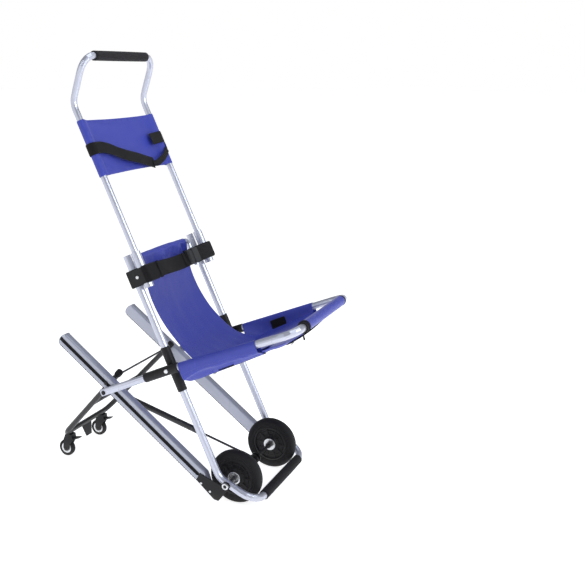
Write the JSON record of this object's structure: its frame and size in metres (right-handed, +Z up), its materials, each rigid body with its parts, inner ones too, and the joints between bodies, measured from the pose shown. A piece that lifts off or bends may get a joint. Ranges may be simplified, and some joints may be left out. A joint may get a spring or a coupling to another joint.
{
  "type": "folding stair chair",
  "caption": "Folding evacuation stair chair with telescopic handle, fabric seat, stair rails, main wheels and a rear caster frame.",
  "frame": {"origin": "middle of the bounding box, on the floor", "axes": "+Z up, +X across the chair to the occupant's left, the occupant faces -Y"},
  "size_m": [0.5372, 0.976, 1.4359],
  "materials": {
    "silver_tube": "satin silver paint over aluminium",
    "black_tube": "satin black powder coat on steel",
    "black_plastic": "moulded black nylon",
    "black_foam": "soft black foam grip",
    "black_webbing": "woven black polyester webbing",
    "black_rubber": "black rubber",
    "blue_cloth": "coated blue nylon, slightly glossy",
    "bright_steel": "zinc plated steel"
  },
  "bodies": {
    "frame": {"frame_loop": "silver_tube", "foot_grip": "black_foam", "wheel_axle": "bright_steel", "axle_nut_right": "bright_steel", "axle_nut_left": "bright_steel", "strut_clevis": "black_plastic", "pivot_sleeve_right": "black_plastic", "pivot_sleeve_left": "black_plastic", "guide_tube_right": "silver_tube", "guide_tube_left": "silver_tube", "clamp_block_right": "black_plastic", "clamp_block_left": "black_plastic", "clamp_screw_right": "bright_steel", "clamp_screw_left": "bright_steel", "back_bar": "silver_tube", "back_panel": "blue_cloth", "waist_belt_long": "black_webbing", "waist_belt_short": "black_webbing", "waist_buckle": "black_plastic"},
    "handle": {"handle_loop": "silver_tube", "handle_grip": "black_foam", "head_panel": "blue_cloth", "head_strap": "black_webbing"},
    "seat": {"seat_loop": "silver_tube", "seat_front_pad": "blue_cloth", "seat_strap": "black_webbing", "seat_sleeve_right": "black_plastic", "seat_sleeve_left": "black_plastic", "pivot_bolt_right": "bright_steel", "pivot_bolt_left": "bright_steel", "seat_panel": "blue_cloth", "seat_pouch": "blue_cloth"},
    "rails": {"stair_rail_right": "silver_tube", "stair_rail_left": "silver_tube", "rail_liner_right": "black_rubber", "rail_liner_left": "black_rubber", "rail_belt_right": "black_rubber", "rail_belt_left": "black_rubber", "rail_bracket_right": "black_plastic", "rail_bracket_left": "black_plastic", "leg_pin_right": "black_plastic", "leg_pin_left": "black_plastic"},
    "caster_frame": {"caster_frame": "black_tube", "leg_cap_right": "black_rubber", "leg_cap_left": "black_rubber", "strut_bracket": "bright_steel", "foot_pedal": "black_plastic"},
    "strut_body": {"strut_cylinder": "black_tube"},
    "strut_rod": {"strut_rod": "bright_steel"},
    "wheel_right": {"wheel_tyre_right": "black_rubber", "wheel_rim_right": "black_plastic"},
    "swivel_right": {"caster_fork_right": "black_plastic"},
    "caster_right": {"caster_wheel_right": "black_rubber"},
    "brake_right": {"brake_lever_right": "black_plastic"},
    "wheel_left": {"wheel_tyre_left": "black_rubber", "wheel_rim_left": "black_plastic"},
    "swivel_left": {"caster_fork_left": "black_plastic"},
    "caster_left": {"caster_wheel_left": "black_rubber"},
    "brake_left": {"brake_lever_left": "black_plastic"}
  },
  "joints": [
    {"name": "handle_slide", "type": "slide", "parent": "frame", "child": "handle", "axis": [0, 0.4337, 0.9011], "range_m": [-0.25, 0]},
    {"name": "seat_fold", "type": "hinge", "parent": "frame", "child": "seat", "pos_m": [0, -0.04671, 0.45305], "axis": [-1, 0, 0], "range_deg": [0, 80]},
    {"name": "rail_fold", "type": "hinge", "parent": "frame", "child": "rails", "pos_m": [0, -0.24585, 0.09], "axis": [1, 0, 0], "range_deg": [0, 18.41]},
    {"name": "caster_fold", "type": "hinge", "parent": "rails", "child": "caster_frame", "pos_m": [0, 0.20159, 0.36281], "axis": [-1, 0, 0], "range_deg": [0, 87.31]},
    {"name": "strut_swing", "type": "hinge", "parent": "caster_frame", "child": "strut_body", "pos_m": [0, 0.29183, 0.23203], "axis": [1, 0, 0], "range_deg": [0, 101.31]},
    {"name": "strut_slide", "type": "slide", "parent": "strut_body", "child": "strut_rod", "axis": [0, 0.9668, 0.2554], "range_m": [0, 0.1898]},
    {"name": "wheel_spin_right", "type": "hinge", "parent": "frame", "child": "wheel_right", "pos_m": [-0.151, -0.24585, 0.09], "axis": [1, 0, 0], "continuous": true},
    {"name": "wheel_spin_left", "type": "hinge", "parent": "frame", "child": "wheel_left", "pos_m": [0.151, -0.24585, 0.09], "axis": [1, 0, 0], "continuous": true},
    {"name": "swivel_turn_right", "type": "hinge", "parent": "caster_frame", "child": "swivel_right", "pos_m": [-0.106, 0.44106, 0.09871], "axis": [0, 0, 1], "continuous": true},
    {"name": "caster_spin_right", "type": "hinge", "parent": "swivel_right", "child": "caster_right", "pos_m": [-0.106, 0.45706, 0.031], "axis": [1, 0, 0], "continuous": true},
    {"name": "brake_press_right", "type": "hinge", "parent": "swivel_right", "child": "brake_right", "pos_m": [-0.106, 0.42156, 0.0725], "axis": [1, 0, 0], "range_deg": [0, 12]},
    {"name": "swivel_turn_left", "type": "hinge", "parent": "caster_frame", "child": "swivel_left", "pos_m": [0.106, 0.44106, 0.09871], "axis": [0, 0, 1], "continuous": true},
    {"name": "caster_spin_left", "type": "hinge", "parent": "swivel_left", "child": "caster_left", "pos_m": [0.106, 0.45706, 0.031], "axis": [1, 0, 0], "continuous": true},
    {"name": "brake_press_left", "type": "hinge", "parent": "swivel_left", "child": "brake_left", "pos_m": [0.106, 0.42156, 0.0725], "axis": [1, 0, 0], "range_deg": [0, 12]}
  ],
  "couplings": [
    {"joint": "rail_fold", "follows": "seat_fold", "ratio": 0.23},
    {"joint": "caster_fold", "follows": "seat_fold", "ratio": 1.0913},
    {"joint": "strut_swing", "follows": "seat_fold", "ratio": 1.2663},
    {"joint": "strut_slide", "follows": "seat_fold", "m_per_rad": 0.13589}
  ]
}
